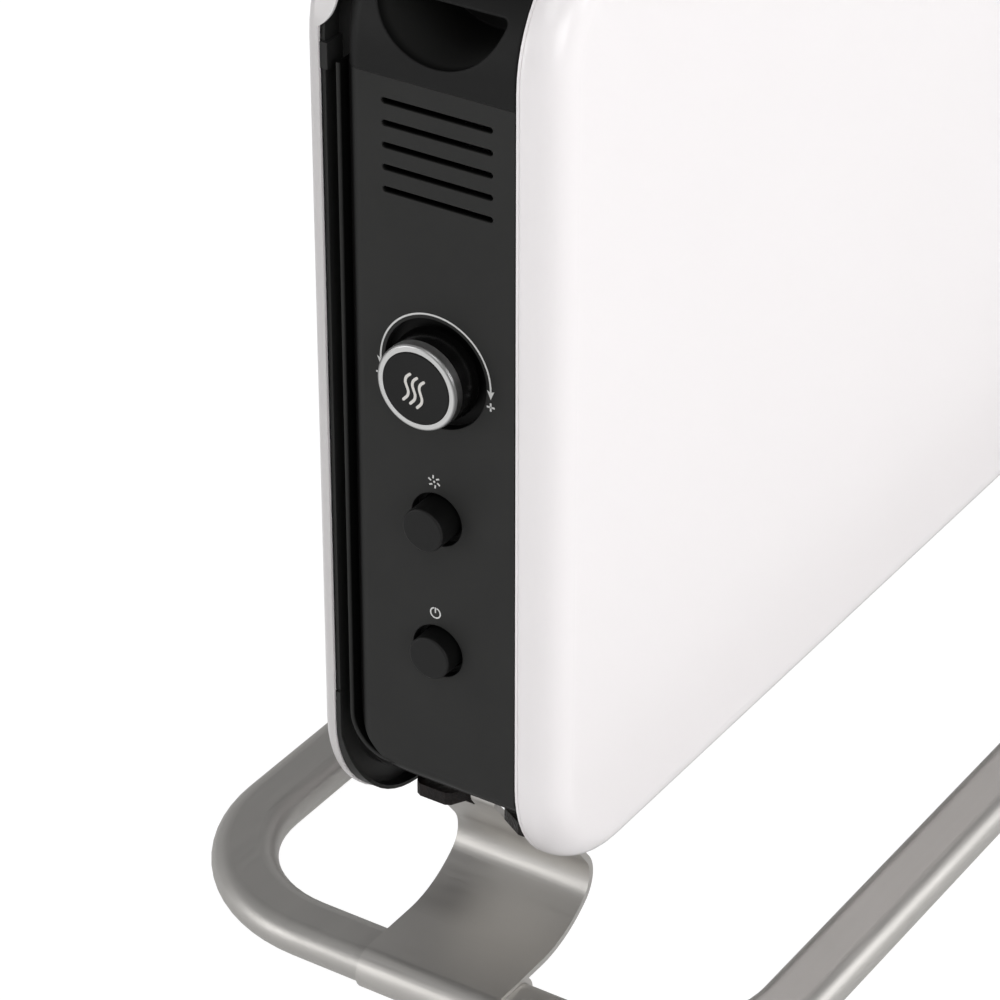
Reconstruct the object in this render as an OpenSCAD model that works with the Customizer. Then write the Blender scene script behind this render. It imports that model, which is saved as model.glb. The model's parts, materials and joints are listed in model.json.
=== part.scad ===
// Portable convector heater with a bent foot loop
// X runs along the heater, the end with the controls is at -X and the front faces -Y.
// The origin is on the floor, in the middle of the foot loop.

/* [Panels] */
// Length of the body over its two end faces
body_l = 820; // [700:10:1000]
// Height of the two white panels
panel_h = 381; // [371:1:411]
// Clear height under the panels
floor_gap = 60; // [58:1:68]
// Corner radius of the panels
corner_r = 50; // [46:1:54]
// Thickness of the panel sheet
sheet_t = 1.2; // [0.8:0.1:1.4]
// Depth of the front panel
front_d = 16.5; // [15.5:0.5:22]
// Radius of the front panel's soft edge
front_r = 14; // [10:0.5:15]
// Distance of the fine crease round the front panel from its rim
crease_in = 1; // [0.8:0.1:1.6]
// Depth of the rear panel
rear_d = 5.7; // [5.5:0.1:8]
// Radius of the rear panel's edge
rear_r = 4.4; // [3:0.1:5]
// How far the rear panel's upper rim reaches forward past the rest of its rim
hood_d = 6.4; // [4:0.1:6.4]
// Height of the start of the deeper rim above the panels' lower edge
hood_rise = 336; // [330:1:350]
// Radius of the hood's rounded lower ends
hood_r = 13; // [8:0.5:16]
// Radius of a rear panel screw's head
screw_head_r = 3.6; // [3:0.1:4.5]

/* [End caps] */
// Width of the raised pad on each end
pad_w = 70.4; // [68:0.1:74]
// Offset of the pad's middle from the knob's axis, to the rear
pad_y = 2.2; // [1:0.1:3]
// Width of the groove behind the pad, where it is narrowest
groove_w = 1.2; // [1:0.1:3]
// Depth of the groove
groove_d = 6; // [4:0.5:8]
// Width of the ridge behind the groove
ridge_w = 1.6; // [1.2:0.1:2]
// Height of the end caps' lower edge above the panels' lower edge
cap_rise = 36.5; // [34:0.1:40]
// Height of the ridge's lower edge above the cap's lower edge
ridge_lift = 4.5; // [2:0.1:6]
// Depth of the end caps along the heater
cap_l = 62; // [58:1:70]
// Radius under the lower edge of the pad
pad_under_r = 8; // [6:0.5:10]
// Radius of the pad's rear edge
pad_rear_r = 7; // [5:0.5:8]
// Radius of the pad's lower rear corner
pad_corner_r = 30; // [26:0.5:32]
// Radius of the lower rear corner of the ridge
ridge_corner_r = 17; // [14:0.5:20]
// Wall of the black moulded pieces
wall = 2.4; // [1.8:0.1:3]
// Number of vent slots on each end
vent_n = 5; // [3:1:7]
// Length of a vent slot
vent_w = 45.5; // [36:0.5:52]
// Height of a vent slot
vent_h = 2.4; // [1.6:0.1:3]
// Distance from one vent slot to the next
vent_pitch = 8.4; // [6:0.1:9]
// Distance of the first vent slot below the handle seam
vent_drop = 9.1; // [7:0.1:14]

/* [Handles] */
// Distance of the handle seam below the top
seam_drop = 56.7; // [55:0.1:62]
// Length of the handle blocks along the heater
handle_l = 75; // [70:1:90]
// Radius of the half-round hand pocket
pocket_r = 27.1; // [25:0.1:29]
// Distance of the pocket's flat upper edge below the top
pocket_drop = 26.6; // [25:0.1:28]
// Height of the hand pocket
pocket_h = 22.5; // [20:0.5:24]
// Radius of the pocket's upper corners
pocket_corner_r = 2; // [1:0.5:4]
// Offset of the pocket's middle from the knob's axis
pocket_y = -0.6; // [-1:0.1:1]
// Depth of the hand pocket
pocket_d = 40; // [30:1:44]

/* [Thermostat knob] */
// Distance of the knob's axis below the handle seam
knob_drop = 109.7; // [100:0.1:116]
// Radius of the knob's disc
knob_disc_r = 14; // [12:0.5:15]
// Outer radius of the silver ring
knob_ring_r = 16.7; // [16:0.1:17.5]
// Radius of the ring's rounded front edge
knob_ring_edge = 1.2; // [0.6:0.1:1.6]
// Radius of the knob at its base
knob_base_r = 17.8; // [17.6:0.1:19]
// How far the knob's disc stands out from the end face
knob_out = 12.5; // [11:0.1:15]
// Radius of the knob's well
knob_well_r = 21.5; // [20:0.1:23]
// Depth of the knob's well
knob_well_d = 4; // [3:0.5:5]
// Radius of the thermostat's shaft
shaft_r = 3; // [2.5:0.1:3.5]
// Radius of the thermostat's threaded bush
bush_r = 5; // [4.5:0.1:6]

/* [Push buttons] */
// Distance of the fan button's axis below the handle seam
fan_drop = 169.3; // [164:0.1:174]
// Distance of the power button's axis below the handle seam
power_drop = 225.3; // [220:0.1:230]
// Radius of a button
button_r = 8.6; // [7.5:0.1:9]
// How far a released button stands out from the end face
button_out = 9.5; // [8:0.1:10]
// Travel of the fan button
fan_travel = 4.2; // [3:0.1:4.4]
// How far the latched power button stays pressed in
latch_travel = 3.2; // [2:0.1:4]
// Radius of a button's well
button_well_r = 10.8; // [10:0.1:12]
// Depth of a button's well
button_well_d = 4.5; // [3:0.5:5]
// Radius of a button's stem
stem_r = 2.5; // [2:0.1:3]

/* [Foot loop] */
// Outer depth of the foot loop
loop_d = 270; // [240:5:300]
// Radius of the loop's corners on the tube's centre line
loop_r = 60.5; // [50:0.5:70]
// Width of the flat oval tube
tube_w = 27; // [24:0.5:30]
// Height of the flat oval tube
tube_h = 15.5; // [14:0.5:17]
// Wall of the tube
tube_t = 1.5; // [1:0.1:2]
// How far the loop's centre line lies outside the end face
loop_out = 1.7; // [0:0.1:4]
// Thickness of the foot pads under the tube
pad_t = 1; // [0.8:0.1:2]

/* [Legs] */
// Width of a leg
leg_w = 61; // [58:0.5:64]
// Offset of the legs from the middle of the loop
leg_y = -2.5; // [-4:0.5:2]
// Thickness of the leg plate
leg_t = 2.5; // [2:0.1:3]
// Wall of the sleeve round the tube
sleeve_t = 1.85; // [1.5:0.05:2.5]
// Length of the flat part of a leg, in from the end face
leg_flat = 20; // [16:0.5:24]
// Radius of the leg's wide scoop
scoop_r = 47.7; // [44:0.1:50]
// Angle of the wide scoop
scoop_a = 38.8; // [36:0.1:42]
// Radius of the leg's tight bend
tip_r = 12; // [10:0.5:14]
// Slope of the arm above the tight bend
arm_a = 52; // [48:1:56]
// Width of the strap between the two notches
strap_w = 10.8; // [9:0.1:11.4]
// Offset of the strap from the middle, to the rear
strap_y = 1.5; // [0:0.05:1.8]
// Depth of the front notch's lower edge under the tray
notch_h = 21; // [16:0.5:24]
// Depth of the rear notch's lower edge under the tray
rear_notch_h = 11; // [10.5:0.1:14]
// Length of the flange that is screwed to the tray
flange_l = 35; // [32:1:40]
// Distance between the two thumbscrews of a leg
thumb_gap = 41; // [38:0.5:42]
// Radius of a thumbscrew's six-sided head, over its corners
thumb_r = 14.2; // [12:0.1:14.4]
// Height of a thumbscrew's head
thumb_h = 5.6; // [4:0.1:8]

/* [Tray and heater] */
// Height of the tray's underside above the panels' lower edge
tray_rise = 17.5; // [17:0.5:19]
// Thickness of the inner sheet steel
plate_t = 1.2; // [0.8:0.1:1.5]
// Distance of the tray's ends from the end faces
tray_in = 27; // [26:0.5:29]
// Radius of the heating element's sheath
sheath_r = 4; // [3:0.5:5]
// Length of an element fin, from the middle out
fin_l = 26; // [18:1:28]
// Height of the element above the tray
element_rise = 120; // [100:1:150]
// Radius of the fan's impeller
fan_r = 20; // [15:1:20]
// Length of the fan's impeller
fan_l = 200; // [120:10:260]
// Number of impeller blades
blade_n = 18; // [12:1:24]
// Radius of the cord gland's bore
gland_r = 4.5; // [4:0.1:5.5]

/* [Clearances] */
// Running clearance round a shaft or stem
run_gap = 0.06; // [0.03:0.01:0.1]
// Gap between neighbouring pieces
fit = 0.3; // [0.3:0.05:0.5]
// Gap at the seam between a handle and its end cap
seam_gap = 0.05; // [0.03:0.01:0.3]

/* [Hidden] */
$fn = 96;
eps = 0.01;

panel_top = floor_gap + panel_h;
seam_z = panel_top - seam_drop;
cap_z = floor_gap + cap_rise;
hood_top = floor_gap + hood_rise + sqrt(2 * hood_r * hood_d - hood_d * hood_d);
tray_z = floor_gap + tray_rise;
tray_floor = tray_z + plate_t;

// Planes across the heater, from the front to the back
core_front = pad_y - pad_w / 2;
pad_back = pad_y + pad_w / 2;
groove_back = pad_back + groove_w;
core_back = groove_back + ridge_w;
front_rim = core_front - 0.5;
front_face = front_rim - front_d;
frame_front = core_back + fit;
frame_d = 6.3;
frame_back = frame_front + frame_d;
rear_rim = frame_back + fit;
rear_face = rear_rim + rear_d;

knob_z = seam_z - knob_drop;
fan_button_z = seam_z - fan_drop;
power_button_z = seam_z - power_drop;
well_wall = 1.6;
hole_r = button_r + 0.4;
flange_r = button_r + 1.6;
flange_t = 1.6;
flange_x = button_well_d + well_wall + fit;
bracket_x = flange_x + flange_t + fan_travel + 3.8;
switch_x = bracket_x + plate_t;
switch_l = 20;
stem_end = switch_x + 8;
control_h = knob_z - power_button_z + 50;
control_z = power_button_z - 25;
ring_back = 4.6;
post_r = 3;
post_y = 21;
tongue = 3;

tube_z = pad_t + tube_h / 2;
rail_y = (loop_d - tube_w) / 2;
loop_corner_x = loop_r - loop_out;
top_of_tube = pad_t + tube_h;
leg_top = top_of_tube + sleeve_t + 0.15;

thumb_x = 38;
thumb_stem_r = 3;
boss_h = 9;
fan_z = tray_floor + fit + fan_r + 8;
fan_y = 2;
element_z = tray_floor + element_rise;
element_y = 2;
bush_hole_r = sheath_r + 5;
bush_head_l = 5;
bush_body_l = 8;
part_z = tray_floor + fit;
tray_front = core_front + 0.5;
tray_back = core_back - 0.5;
part_front = core_front + wall + fit;
part_back = core_back - wall - fit;
grille_h = 12;
grille_top = panel_top - 4;
part_top = grille_top - grille_h - fit;
cap_inner = body_l / 2 - cap_l;
part_x = cap_inner - fit;
boss_r = 5.5;
screw_r = 2;
screw_side = 110;
screw_pad = 2;
crease_d = 0.25;
crease_w = 0.4;
frame_inset = 10;
lip_inset = 0.6;
lip_t = 1.5;
lip_top = cap_z + 27.5;
lip_d = 2;
lip_low = lip_top - 46;
lip_high = lip_top - 20;
ridge_fade = 9;
clip_drop = 4;
clip_h = 10;
screw_in = 17;
foot_in = 100;
foot_l = 30;
foot_w = 10;

black = [0.17, 0.17, 0.165];
enamel = [0.96, 0.95, 0.95];
steel = [0.55, 0.54, 0.52];
zinc = [0.7, 0.71, 0.72];

// Places children in the frame of the end with the controls: x runs inward from its end face
module at_left() {
    translate([-body_l / 2, 0, 0]) children();
}

// The same frame at the far end, mirrored
module at_right() {
    mirror([1, 0, 0]) at_left() children();
}

// A rounded rectangle with its corner at the origin
module rounded(l, h, r) {
    translate([r, 0]) square([l - 2 * r, h]);
    translate([0, r]) square([l, h - 2 * r]);
    for (x = [r, l - r], y = [r, h - r])
        translate([x, y]) circle(r);
}

// A flat oval, w wide and h high, about the origin
module flat_oval(w, h) {
    square([w - h, h], center = true);
    for (s = [-1, 1])
        translate([s * (w - h) / 2, 0]) circle(h / 2);
}

// A band between two radii, from angle a0 to angle a1
module band(r0, r1, a0, a1) {
    wedge = [for (i = [0:4]) let (a = a0 + (a1 - a0) * i / 4) 2 * r1 * [cos(a), sin(a)]];
    intersection() {
        difference() {
            circle(r1);
            circle(r0);
        }
        polygon(concat([[0, 0]], wedge));
    }
}

// Turns a drawing of x and z into a solid from y0 to y1
module across(y0, y1) {
    translate([0, y1, 0]) rotate([90, 0, 0]) linear_extrude(y1 - y0) children();
}

// Turns a drawing of y and z into a solid from x0 to x1
module along(x0, x1) {
    translate([x0, 0, 0]) rotate([90, 0, 90]) linear_extrude(x1 - x0) children();
}

// A round bar along X
module bar(x0, x1, r, y = 0, z = 0) {
    translate([x0, y, z]) rotate([0, 90, 0]) cylinder(r = r, h = x1 - x0);
}

// The panels' outline, drawn smaller by the inset
module outline(inset) {
    translate([-body_l / 2 + inset, floor_gap + inset])
        rounded(body_l - 2 * inset, panel_h - 2 * inset, corner_r - inset);
}

// Section of a panel's rolled edge: x runs out to the rim, y from the rim up to the face
module edge_section(d, r, creased) {
    x0 = corner_r - r;
    difference() {
        union() {
            translate([x0, 0]) square([r, d - r]);
            translate([x0, d - r]) intersection() {
                circle(r);
                square(r);
            }
        }
        translate([x0 - 1, -1]) square([r - sheet_t + 1, d - r + 1]);
        translate([x0, d - r]) circle(r - sheet_t);
        if (creased) translate([corner_r - crease_d, crease_in]) square([1, crease_w]);
    }
}

// A pressed pan with the panels' outline: the rim lies at z = 0 and the face at z = d
module pan(d, r, creased = false) {
    l = body_l - 2 * corner_r;
    h = panel_h - 2 * corner_r;
    translate([r - body_l / 2, r - panel_h / 2, d - sheet_t]) linear_extrude(sheet_t)
        rounded(body_l - 2 * r, panel_h - 2 * r, corner_r - r);
    for (s = [0, 180]) rotate([0, 0, s]) {
        translate([l / 2, h / 2, 0]) rotate_extrude(angle = 90) edge_section(d, r, creased);
        translate([-l / 2, h / 2, 0]) rotate([0, 0, 90])
            rotate_extrude(angle = 90) edge_section(d, r, creased);
        translate([l / 2, h / 2, 0]) rotate([90, 0, 0])
            linear_extrude(h) edge_section(d, r, creased);
        translate([-l / 2, h / 2, 0]) rotate([90, 0, 90])
            linear_extrude(l) edge_section(d, r, creased);
    }
}

module front_panel() {
    color(enamel)
        translate([0, front_rim, floor_gap + panel_h / 2]) rotate([90, 0, 0])
            pan(front_d, front_r, true);
}

// Places of the rear panel's screws, on the frame behind it
module screw_places() {
    for (x = [-1, 0, 1], z = [floor_gap + screw_in, panel_top - screw_in])
        translate([x * (body_l / 2 - screw_side), 0, z]) rotate([-90, 0, 0]) children();
}

module rear_panel() {
    color(enamel) difference() {
        union() {
            translate([0, rear_rim, floor_gap + panel_h / 2]) rotate([90, 0, 180])
                pan(rear_d, rear_r);
            // Deeper rim round the top, rounded at its lower ends
            intersection() {
                across(rear_rim - hood_d, rear_rim) difference() {
                    outline(0);
                    outline(sheet_t);
                }
                along(-body_l / 2 - 1, body_l / 2 + 1) {
                    translate([rear_rim - hood_d, hood_top]) square([hood_d, panel_h]);
                    translate([rear_rim - hood_d + hood_r, hood_top]) circle(hood_r);
                }
            }
        }
        translate([0, rear_rim, 0]) screw_places() cylinder(r = screw_r + 0.2, h = rear_d + 1);
    }
}

module rear_frame() {
    color(black) difference() {
        union() {
            // Rear lip of the channel
            across(frame_back - lip_t, frame_back) outline(sheet_t + fit);
            across(frame_front, frame_back) outline(frame_inset);
            // Lip round the lower part, which shows behind the end caps, and a clip near the top
            intersection() {
                across(frame_front, frame_back) difference() {
                    outline(lip_inset);
                    outline(lip_inset + lip_t);
                }
                along(-body_l / 2, body_l / 2) polygon([
                    [frame_back, 0], [frame_front, 0], [frame_front, lip_low],
                    [frame_back - lip_d, lip_high], [frame_back - lip_d, lip_top],
                    [frame_back, lip_top]]);
            }
            across(frame_back - 2 * lip_t, frame_back) intersection() {
                difference() {
                    outline(lip_inset);
                    outline(frame_inset + 1);
                }
                translate([-body_l / 2, seam_z - clip_drop]) square([body_l, clip_h]);
            }
        }
        across(frame_front + 1.5, frame_back + 1) difference() {
            outline(frame_inset + well_wall);
            // Solid pads for the screws stay
            for (x = [-1, 0, 1], z = [floor_gap + screw_in, panel_top - screw_in])
                translate([x * (body_l / 2 - screw_side), z]) circle(boss_r);
        }
        screw_places() translate([0, 0, frame_front + screw_pad])
            cylinder(r = screw_r + 0.1, h = frame_d);
    }
}

module rear_screws() {
    tip = frame_front + screw_pad + 0.2;
    head_h = screw_head_r / 2;
    slot_l = 1.1 * screw_head_r;
    slot_w = slot_l / 5;
    color(zinc) screw_places() {
        translate([0, 0, tip]) cylinder(r = screw_r, h = rear_face - tip);
        translate([0, 0, rear_face]) difference() {
            cylinder(r = screw_head_r, h = head_h);
            for (a = [0, 90])
                rotate([0, 0, a]) translate([-slot_l / 2, -slot_w / 2, head_h / 2])
                    cube([slot_l, slot_w, head_h]);
        }
    }
}

// End of a cap seen along X, from the height z up to the seam: the rear lower corner is round
module cap_outline(back, r, z) {
    top = seam_z - seam_gap;
    translate([core_front, z]) square([back - core_front - r, top - z]);
    translate([core_front, z + r]) square([back - core_front, top - z - r]);
    translate([back - r, z + r]) circle(r);
}

// The raised pad: soft under its lower edge and at its rear edge
module cap_pad() {
    intersection() {
        along(0, groove_d + 1) cap_outline(pad_back, pad_corner_r, cap_z);
        across(core_front - 1, pad_back + 1) union() {
            translate([pad_under_r, cap_z]) square([groove_d + 2, panel_h]);
            translate([0, cap_z + pad_under_r]) square([groove_d + 2, panel_h]);
            translate([pad_under_r, cap_z + pad_under_r]) circle(pad_under_r);
        }
        translate([0, 0, cap_z - 1]) linear_extrude(panel_h) union() {
            translate([0, core_front - 1]) square([groove_d + 2, pad_w + 1 - pad_rear_r]);
            translate([pad_rear_r, core_front - 1]) square([groove_d + 2, pad_w + 1]);
            translate([pad_rear_r, pad_back - pad_rear_r]) circle(pad_rear_r);
        }
    }
}

// Section of the ridge: x runs inward from its rounded top, y across it
module ridge_section() {
    translate([ridge_w / 2, 0]) square([groove_d + 1 - ridge_w / 2, ridge_w]);
    translate([ridge_w / 2, ridge_w / 2]) circle(ridge_w / 2);
}

// The ridge runs down, round the lower rear corner and fades out along the lower edge
module cap_ridge() {
    y = core_back - ridge_corner_r;
    z = cap_z + ridge_lift + ridge_corner_r;
    translate([0, groove_back, z]) linear_extrude(seam_z - seam_gap - z) ridge_section();
    translate([0, y, z]) rotate([0, -90, 0]) rotate([0, 0, 90]) rotate_extrude(angle = 90)
        translate([ridge_corner_r - ridge_w, 0]) rotate(-90) ridge_section();
    intersection() {
        across(y - ridge_fade, y) translate([0, cap_z + ridge_lift]) ridge_section();
        translate([0, 0, cap_z]) linear_extrude(ridge_corner_r)
            polygon([[0, y], [2, y - ridge_fade], [groove_d + 1, y - ridge_fade], [groove_d + 1, y]]);
    }
}

// Shell of an end cap: pad, groove, ridge and the walls behind them
module cap_shell() {
    difference() {
        union() {
            cap_pad();
            along(groove_d, cap_l) cap_outline(core_back, ridge_corner_r, cap_z);
            cap_ridge();
            // Tongue inside the front panel's rim
            translate([fit + sheet_t, core_front - tongue, floor_gap + corner_r + 1])
                cube([wall, tongue + eps, seam_z - floor_gap - corner_r - 2]);
        }
        // Room inside, behind the pad and behind the groove
        along(wall, cap_l + 1) intersection() {
            translate([core_front + wall, cap_z + pad_under_r])
                square([pad_w - pad_rear_r - 2 * wall, seam_z - cap_z - pad_under_r - wall - fit]);
            cap_outline(pad_back - wall, pad_corner_r - wall, cap_z + wall);
        }
        translate([groove_d + wall, core_front + wall, cap_z + wall])
            cube([cap_l, core_back - ridge_corner_r - core_front - wall, pad_under_r]);
        vents();
    }
}

// Vent slots through the pad
module vents() {
    for (i = [0:vent_n - 1])
        along(-1, wall + 1) translate([-1.5, seam_z - vent_drop - i * vent_pitch])
            flat_oval(vent_w, vent_h);
}

// A round well with a floor, at the height z
module well(r, d, z) {
    bar(wall - eps, d + well_wall, r + well_wall, 0, z);
}

module well_cut(r, d, z, r_hole) {
    bar(-1, d, r, 0, z);
    bar(d - 1, d + well_wall + 1, r_hole, 0, z);
}

module left_end_cap() {
    color(black) at_left() difference() {
        union() {
            cap_shell();
            well(knob_well_r, knob_well_d, knob_z);
            well(button_well_r, button_well_d, fan_button_z);
            well(button_well_r, button_well_d, power_button_z);
            // Posts that carry the control bracket
            for (y = [-post_y, post_y], z = [control_z + 5, control_z + control_h - 5])
                bar(wall - eps, bracket_x, post_r, y, z);
        }
        well_cut(knob_well_r, knob_well_d, knob_z, bush_r + 0.4);
        well_cut(button_well_r, button_well_d, fan_button_z, hole_r);
        well_cut(button_well_r, button_well_d, power_button_z, hole_r);
    }
}

module right_end_cap() {
    color(black) at_right() cap_shell();
}

// Section of a handle's outside: x runs out to its surface, y from the front to the rear
module handle_section() {
    square([corner_r, pad_w - pad_rear_r]);
    square([corner_r - pad_rear_r, pad_w]);
    translate([corner_r - pad_rear_r, pad_w - pad_rear_r]) circle(pad_rear_r);
}

// Outside of a handle, with a soft rear edge that follows the corner of the panels
module handle_skin() {
    straight = panel_top - corner_r - seam_z;
    inner_l = handle_l - corner_r;
    translate([body_l / 2, core_front, panel_top - corner_r]) rotate([90, 0, 180]) {
        translate([body_l / 2 - corner_r, 0, 0]) {
            rotate_extrude(angle = 90) handle_section();
            rotate([90, 0, 0]) linear_extrude(straight) handle_section();
        }
        translate([body_l / 2 - handle_l, 0, 0]) {
            rotate([90, 0, 90]) linear_extrude(inner_l) handle_section();
            translate([0, -straight, 0]) cube([inner_l, straight, pad_w]);
        }
    }
}

// The end of an outline above the seam, from y0 to y1
module above_seam(y0, y1, inset, below = 0) {
    translate([body_l / 2, 0, 0]) across(y0, y1) intersection() {
        outline(inset);
        translate([-body_l / 2, seam_z - below]) square([handle_l + below, seam_drop + below]);
    }
}

// Handle block, drawn in the frame of its end
module handle_block() {
    difference() {
        union() {
            difference() {
                union() {
                    handle_skin();
                    above_seam(pad_back - wall, core_back, frame_inset);
                }
                // Hollow inside, open below and toward the middle
                above_seam(core_front + wall, pad_back - pad_rear_r, wall, 1);
                above_seam(pad_back - pad_rear_r - 1, core_back - wall, frame_inset + wall, 1);
            }
            // Pocket's own wall
            intersection() {
                along(0, pocket_d + wall) pocket_section(wall);
                above_seam(core_front + 1, pad_back - 1, 0.5);
            }
            // Tongue inside the front panel's rim
            difference() {
                above_seam(core_front - tongue, core_front + eps, sheet_t + fit);
                above_seam(core_front - tongue - 1, core_front + 1, sheet_t + fit + wall, 1);
            }
        }
        along(-1, pocket_d) pocket_section(0);
    }
}

// Half-round section of the hand pocket with rounded upper corners, grown by the wall where asked
module pocket_section(grow) {
    r = pocket_r + grow;
    corner = pocket_corner_r + grow;
    h = pocket_h - pocket_r - pocket_corner_r;
    w = sqrt(pow(pocket_r - pocket_corner_r, 2) - h * h);
    a = atan2(h, w);
    translate([pocket_y, panel_top - pocket_drop + pocket_r - pocket_h]) polygon(concat(
        [for (i = [0:48]) let (t = a - (180 + 2 * a) * i / 48) r * [cos(t), sin(t)]],
        [for (i = [1:8]) let (t = 180 - a - (90 - a) * i / 8) [-w, h] + corner * [cos(t), sin(t)]],
        [for (i = [0:7]) let (t = 90 - (90 - a) * i / 8) [w, h] + corner * [cos(t), sin(t)]]));
}

module left_handle() {
    color(black) at_left() handle_block();
}

module right_handle() {
    color(black) at_right() handle_block();
}

module top_grille() {
    x0 = -body_l / 2 + handle_l + fit;
    l = body_l - 2 * (handle_l + fit);
    y0 = core_front;
    w = core_back - core_front;
    slats = 9;
    ribs = 9;
    rim = 3;
    pitch = (w - 2 * rim) / slats;
    color(black) union() {
        difference() {
            translate([x0, y0, grille_top - grille_h]) cube([l, w, grille_h]);
            translate([x0 + rim, y0 + rim, grille_top - grille_h - 1])
                cube([l - 2 * rim, w - 2 * rim, grille_h + 2]);
        }
        for (i = [1:slats - 1])
            translate([x0 + 1, y0 + rim + i * pitch - 0.9, grille_top - grille_h + 2])
                cube([l - 2, 1.8, grille_h - 3]);
        for (i = [1:ribs - 1])
            translate([x0 + i * l / ribs - 1, y0 + 1, grille_top - grille_h])
                cube([2, w - 2, grille_h - 4]);
    }
}

// Places of the four thumbscrews
module thumb_places() {
    for (s = [-1, 1], t = [-1, 1])
        translate([s * (body_l / 2 - thumb_x), t * thumb_gap / 2, 0]) children();
}

module base_tray() {
    l = body_l - 2 * tray_in;
    w = tray_back - tray_front;
    rise = cap_z - tray_z - fit;
    inlets = 15;
    color(black) difference() {
        union() {
            difference() {
                translate([-l / 2, tray_front, tray_z]) cube([l, w, rise]);
                translate([-l / 2 + plate_t, tray_front + plate_t, tray_floor])
                    cube([l - 2 * plate_t, w - 2 * plate_t, rise]);
                // Air inlets between the legs
                for (i = [0:inlets - 1], y = [-24, -8, 14, 30])
                    translate([(i - (inlets - 1) / 2) * 36 - 14, y - 2.5, tray_z - 1])
                        cube([28, 5, plate_t + 2]);
            }
            thumb_places() translate([0, 0, tray_z]) cylinder(r = boss_r, h = boss_h);
        }
        thumb_places() translate([0, 0, tray_z - 1])
            cylinder(r = thumb_stem_r + 0.1, h = boss_h + 2);
        translate([gland_x, gland_y, tray_z - 1]) cylinder(r = gland_body_r + 0.05, h = 6);
    }
}

gland_x = -body_l / 2 + cap_l + 40;
gland_y = 22;
gland_body_r = gland_r + 2.5;

module cord_gland() {
    color(black) translate([gland_x, gland_y, 0]) difference() {
        union() {
            translate([0, 0, tray_z - 3]) cylinder(r = gland_body_r + 3, h = 3);
            translate([0, 0, tray_z - 1]) cylinder(r = gland_body_r, h = 9);
            translate([0, 0, tray_floor]) cylinder(r = gland_body_r + 2.5, h = 4);
        }
        translate([0, 0, tray_z - 6]) cylinder(r = gland_r, h = 24);
    }
}

// Inner wall beside an end bay, with holes for the element and the wires
module partition() {
    translate([cap_l + fit, 0, 0]) difference() {
        translate([0, part_front, part_z])
            cube([plate_t, part_back - part_front, part_top - part_z]);
        bar(-1, plate_t + 1, bush_hole_r, element_y, element_z);
        bar(-1, plate_t + 1, 7, -18, element_z + 60);
    }
}

module left_partition() {
    color(zinc) at_left() partition();
}

module right_partition() {
    color(zinc) at_right() partition();
}

module front_baffle() {
    x = part_x - plate_t - fit;
    color(zinc) translate([-x, part_front, part_z])
        cube([2 * x, plate_t, part_top - part_z]);
}

// Ceramic bushes that carry the element's sheath in the partitions
module element_bushes() {
    color("ivory") for (s = [0, 1]) mirror([s, 0, 0]) at_left() difference() {
        union() {
            bar(cap_l - bush_head_l, cap_l + fit, bush_hole_r + 3, element_y, element_z);
            bar(cap_l, cap_l + bush_body_l, bush_hole_r - 0.05, element_y, element_z);
        }
        bar(cap_l - bush_head_l - 1, cap_l + bush_body_l + 1, sheath_r + 0.05,
            element_y, element_z);
    }
}

module element_sheath() {
    color(steel) bar(-cap_inner - 12, cap_inner + 12, sheath_r, element_y, element_z);
}

// Four fins along the sheath
module heating_element() {
    l = 2 * (cap_inner - 14);
    color(zinc) translate([0, element_y, element_z]) along(-l / 2, l / 2) difference() {
        union() {
            circle(sheath_r + 1.6);
            for (a = [45:90:315])
                rotate(a) translate([0, -0.7]) square([fin_l, 1.4]);
            for (a = [45:90:315], r = [fin_l * 0.6, fin_l])
                rotate(a) translate([r - 1.4, -4]) square([1.4, 8]);
        }
        circle(sheath_r + 0.05);
    }
}

module thermostat_knob() {
    color([0.06, 0.06, 0.06]) at_left() translate([0, 0, knob_z]) difference() {
        rotate([0, 90, 0]) rotate_extrude() difference() {
            polygon([[0, 1.4], [knob_base_r, 1.4], [knob_base_r, 0],
                     [knob_ring_r - 0.4, -knob_out + ring_back],
                     [knob_disc_r, -knob_out + ring_back],
                     [knob_disc_r, -knob_out + 0.5], [knob_disc_r - 0.5, -knob_out],
                     [knob_disc_r - 3, -knob_out + 0.1], [0, -knob_out + 0.5]]);
            // Hollow behind, round the hub
            translate([6.5, -knob_out + ring_back + 3]) square([7.5, knob_out]);
        }
        bar(-knob_out + 4, 3, shaft_r + 0.05);
    }
}

module knob_ring() {
    inner_r = knob_disc_r + 0.05;
    front = -knob_out + 0.3;
    color([0.8, 0.8, 0.8]) at_left() translate([0, 0, knob_z]) rotate([0, 90, 0])
        rotate_extrude() difference() {
            union() {
                translate([inner_r, front + knob_ring_edge])
                    square([knob_ring_r - inner_r, ring_back - 0.3 - knob_ring_edge]);
                translate([knob_ring_r - knob_ring_edge, front + knob_ring_edge]) circle(knob_ring_edge);
                translate([inner_r, front]) square([knob_ring_r - knob_ring_edge - inner_r, knob_ring_edge]);
            }
            translate([0, front - 1]) square([inner_r, ring_back + 1]);
            translate([0, -knob_out + ring_back]) square(knob_base_r);
        }
}

module thermostat_shaft() {
    color(steel) at_left()
        bar(-knob_out + 4.2, switch_x + 16, shaft_r, 0, knob_z);
}

module thermostat_body() {
    color("dimgray") at_left() difference() {
        union() {
            translate([switch_x, -14, knob_z - 13]) cube([22, 28, 26]);
            bar(5, switch_x + eps, bush_r, 0, knob_z);
        }
        bar(4, switch_x + 16.2, shaft_r + run_gap, 0, knob_z);
    }
}

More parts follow.
